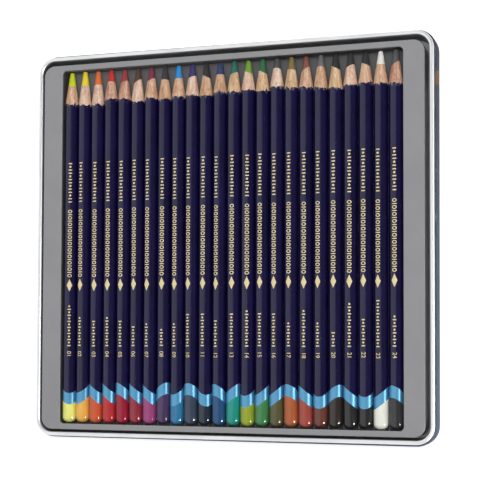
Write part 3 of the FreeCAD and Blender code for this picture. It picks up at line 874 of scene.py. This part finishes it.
class PENCILSET_OT_foil(bpy.types.Operator):
    """Stamps plain gold foil on the barrels: rows of beads and bars, a lozenge and the pencil's number"""
    bl_idname = "pencilset.foil"
    bl_label = "Gold foil"
    bl_options = {"UNDO"}

    def execute(self, context):
        look = context.scene.pencil_set
        for index in range(len(look.pencils)):
            self.stamp(look, index)
        return {"FINISHED"}

    def draw_flat(self, bm, number, marks):
        """Lays one barrel's foil out flat, with the marks that lead to its number."""
        for mark in range(LEAD_MARKS):
            along = LEAD_START + LEAD_PITCH * mark
            if mark % 3 == 1:
                flat_disc(bm, along, *LEAD_DISC, corners=12)
            else:
                flat_bar(bm, along, *LEAD_BAR)
        for unit in range(RINGS):
            along = RING_START + RING_PITCH * unit
            flat_ring(bm, along, *RING, corners=16)
            if unit < RINGS - 1:
                flat_bar(bm, along + RING_PITCH / 2, *RING_BAR)
        flat_disc(bm, LOZENGE_AT, *LOZENGE, corners=4)
        for mark in range(marks):
            along = TAIL_START - TAIL_PITCH * mark
            if mark % 2:
                flat_disc(bm, along, *TAIL_DISC, corners=10)
            else:
                flat_bar(bm, along, *TAIL_BAR)
        flat_digits(bm, number, DIGITS_AT, DIGITS_HIGH)

    def stamp(self, look, index):
        """Cuts and thickens one barrel's foil, and bends it round the barrel."""
        barrel = Barrel(index, look)
        bm = bmesh.new()
        self.draw_flat(bm, barrel.number, barrel.own.marks)
        for step in FOIL_CUTS:
            everything = bm.verts[:] + bm.edges[:] + bm.faces[:]
            across = (FOIL_CUT_PITCH * step, 0, 0)
            bmesh.ops.bisect_plane(bm, geom=everything, dist=1e-7, plane_co=across, plane_no=(1, 0, 0))
        raised = bmesh.ops.extrude_face_region(bm, geom=bm.faces[:])["geom"]
        bmesh.ops.translate(bm, vec=(0, 0, barrel.sizes.foil + FOIL_SUNK),
                            verts=[g for g in raised if isinstance(g, bmesh.types.BMVert)])
        tip = barrel.axis + Vector((0, barrel.sizes.length, 0))
        for vert in bm.verts:
            turn = barrel.own.foil_turn + vert.co.x / barrel.radius
            put(vert, tip, turn, barrel.radius - FOIL_SUNK + vert.co.z, vert.co.y)
        gold = shared(foil_finish, look.colours)
        piece = finish_piece(f"pencil_{barrel.number}_foil", bm, [gold])
        seat(piece, f"pencil_{barrel.number}", "casing")


# Each lamp's place, width in metres and power in watts
KEY_LAMP = ((0.3, 0.12, 1.1), 0.6, 7.2)
SPARK_LAMP = ((0.9, -0.38, 0.35), 0.3, 15.0)
# The paper floor: half its width, how far it lies under the tin, its tones, and how far it glows by itself
# where the camera sees it and where gloss mirrors it
FLOOR_HALF = 4.0
FLOOR_DROP = 0.0002
PAPER = ("e9e9e9", "efefef")
PAPER_SEEN = 0.6
PAPER_MIRRORED = 0.3
# The camera that the photograph's straight edges give: its place, its turns about Y, X and Z in degrees,
# its lens and sensor in mm and its upward shift
CAMERA_AT = (187.1 * MM, -52.6 * MM, 566.9 * MM)
CAMERA_TURNS = (17.962, 2.296, 0.186)
CAMERA_LENS = 92.27
CAMERA_SENSOR = 36.0
CAMERA_SHIFT = 0.1292


def soft_lamp(name, place, wide, power, diffuse):
    """A square lamp that faces the tin and lights either matte surfaces or gloss alone."""
    lamp = bpy.data.lights.new(name, "AREA")
    lamp.shape, lamp.size, lamp.energy = "SQUARE", wide, power
    holder = bpy.data.objects.new(name, lamp)
    holder.location = place
    holder.rotation_euler = (-Vector(place)).to_track_quat("-Z", "Y").to_euler()
    holder.visible_camera = False
    holder.visible_diffuse = diffuse
    holder.visible_glossy = not diffuse
    bpy.context.scene.collection.objects.link(holder)


class PENCILSET_OT_stage(bpy.types.Operator):
    """Sets the pale floor, the soft light and the camera"""
    bl_idname = "pencilset.stage"
    bl_label = "Stage"
    bl_options = {"UNDO"}

    def execute(self, context):
        self.lay_floor()
        self.light_world(context.scene)
        soft_lamp("key", *KEY_LAMP, diffuse=True)
        soft_lamp("spark", *SPARK_LAMP, diffuse=False)
        self.place_camera(context.scene)
        context.scene.view_settings.view_transform = "Standard"
        return {"FINISHED"}

    def lay_floor(self):
        bm = bmesh.new()
        under = Matrix.Translation((0, 0, -FLOOR_DROP))
        bmesh.ops.create_grid(bm, x_segments=1, y_segments=1, size=FLOOR_HALF, matrix=under)
        white = Finish("floor_paper", Specular_IOR_Level=0.0)
        white.shader.inputs["Roughness"].default_value = 1.0
        fleck = white.noise(300, detail=2)
        white.colour(white.blend(white.spread(fleck, 0, 1), *(paint(tone) for tone in PAPER)))
        seen = white.node("ShaderNodeLightPath")
        mirrored = white.combine("MAXIMUM", seen.outputs["Is Glossy Ray"],
                                 seen.outputs["Is Transmission Ray"])
        glow = white.combine("MAXIMUM", white.spread(seen.outputs["Is Camera Ray"], 0.0, PAPER_SEEN),
                             white.spread(mirrored, 0.0, PAPER_MIRRORED))
        white.shader.inputs["Emission Color"].default_value = (1, 1, 1, 1)
        white.feed(white.shader.inputs["Emission Strength"], glow)
        floor = finish_piece("floor", bm, [white.material])

    def light_world(self, scene):
        world = bpy.data.worlds.new("studio")
        world.use_nodes = True
        scene.world = world
        nodes, links = world.node_tree.nodes, world.node_tree.links
        back = nodes["Background"]
        where = nodes.new("ShaderNodeTexCoord")
        parts = nodes.new("ShaderNodeSeparateXYZ")
        links.new(where.outputs["Generated"], parts.inputs[0])

        def fade(axis, start, end, low, high):
            """Goes smoothly from low to high between two directions."""
            made = nodes.new("ShaderNodeMapRange")
            made.interpolation_type = "SMOOTHSTEP"
            links.new(parts.outputs[axis], made.inputs["Value"])
            settings = {"From Min": start, "From Max": end, "To Min": low, "To Max": high}
            for socket, setting in settings.items():
                made.inputs[socket].default_value = setting
            return made.outputs[0]

        def join(kind, first, second):
            made = nodes.new("ShaderNodeMath")
            made.operation = kind
            links.new(first, made.inputs[0])
            links.new(second, made.inputs[1])
            return made.outputs[0]

        seen = nodes.new("ShaderNodeLightPath").outputs
        mirrored = join("MAXIMUM", seen["Is Glossy Ray"], seen["Is Transmission Ray"])
        seen_by = nodes.new("ShaderNodeMix")
        links.new(mirrored, seen_by.inputs["Factor"])
        # Matte surfaces are lit more from the right and from the points' side
        on_matte = join("MULTIPLY", fade("X", -0.3, 0.3, 0.36, 0.7), fade("Y", -0.4, 0.1, 0.4, 1.0))
        # Gloss mirrors a bright left and a dark right
        on_gloss = fade("X", -0.15, 0.3, 1.0, 0.1)
        links.new(on_matte, seen_by.inputs["A"])
        links.new(on_gloss, seen_by.inputs["B"])
        at_horizon = fade("Z", 0.1, 0.25, 1.0, 0.0)
        lit = join("MAXIMUM", seen_by.outputs[0], at_horizon)
        links.new(join("MAXIMUM", lit, seen["Is Camera Ray"]), back.inputs["Strength"])
        back.inputs["Color"].default_value = (1, 1, 1, 1)

    def place_camera(self, scene):
        yaw, pitch, roll = (math.radians(turn) for turn in CAMERA_TURNS)
        lens = bpy.data.cameras.new("camera")
        lens.sensor_width, lens.lens, lens.shift_y = CAMERA_SENSOR, CAMERA_LENS, CAMERA_SHIFT
        camera = bpy.data.objects.new("camera", lens)
        turned = Matrix.Rotation(yaw, 4, "Y") @ Matrix.Rotation(pitch, 4, "X") @ Matrix.Rotation(roll, 4, "Z")
        camera.matrix_world = Matrix.Translation(CAMERA_AT) @ turned
        scene.collection.objects.link(camera)
        scene.camera = camera


class PENCILSET_PT_panel(bpy.types.Panel):
    """Sizes, colours and pieces of the pencil tin"""
    bl_idname = "PENCILSET_PT_panel"
    bl_label = "Pencil tin"
    bl_space_type = "VIEW_3D"
    bl_region_type = "UI"
    bl_category = "Pencil tin"

    def draw(self, context):
        look = context.scene.pencil_set
        for group in (look.pencil, look.tin, look.colours):
            box = self.layout.box()
            for name in group.__annotations__:
                box.prop(group, name)
        for operator in OPERATORS:
            self.layout.operator(operator.bl_idname)


OPERATORS = (
    PENCILSET_OT_lid,
    PENCILSET_OT_base,
    PENCILSET_OT_tray,
    PENCILSET_OT_casings,
    PENCILSET_OT_cores,
    PENCILSET_OT_foil,
    PENCILSET_OT_stage,
)
GROUPS = (PencilLook, PencilSizes, TinSizes, FinishColours, PencilSetLook)
CLASSES = (*GROUPS, *OPERATORS, PENCILSET_PT_panel)


def register():
    for made in CLASSES:
        bpy.utils.register_class(made)
    bpy.types.Scene.pencil_set = PointerProperty(type=PencilSetLook, name="Pencil set",
                                                 description="Sizes and colours of the pencil set")


def unregister():
    del bpy.types.Scene.pencil_set
    for made in reversed(CLASSES):
        bpy.utils.unregister_class(made)


def list_pencils(look):
    """Fills the list of pencils from the table."""
    look.pencils.clear()
    for cone, shift, way, band, foil, marks, wood, dip, core in PENCILS:
        own = look.pencils.add()
        own.cone, own.core_shift, own.marks = cone * MM, shift * MM, marks
        own.core_turn, own.band_turn, own.foil_turn = (math.radians(turn) for turn in (way, band, foil))
        own.dip, own.core = paint(dip)[:3], paint(core)[:3]
        own.wood_light, own.wood_dark = (paint(tone)[:3] for tone in WOODS[wood])


def main():
    register()
    list_pencils(bpy.context.scene.pencil_set)
    bpy.ops.pencilset.lid()
    bpy.ops.pencilset.base()
    bpy.ops.pencilset.tray()
    bpy.ops.pencilset.casings()
    bpy.ops.pencilset.cores()
    bpy.ops.pencilset.foil()
    bpy.ops.pencilset.stage()


if __name__ == "__main__":
    main()
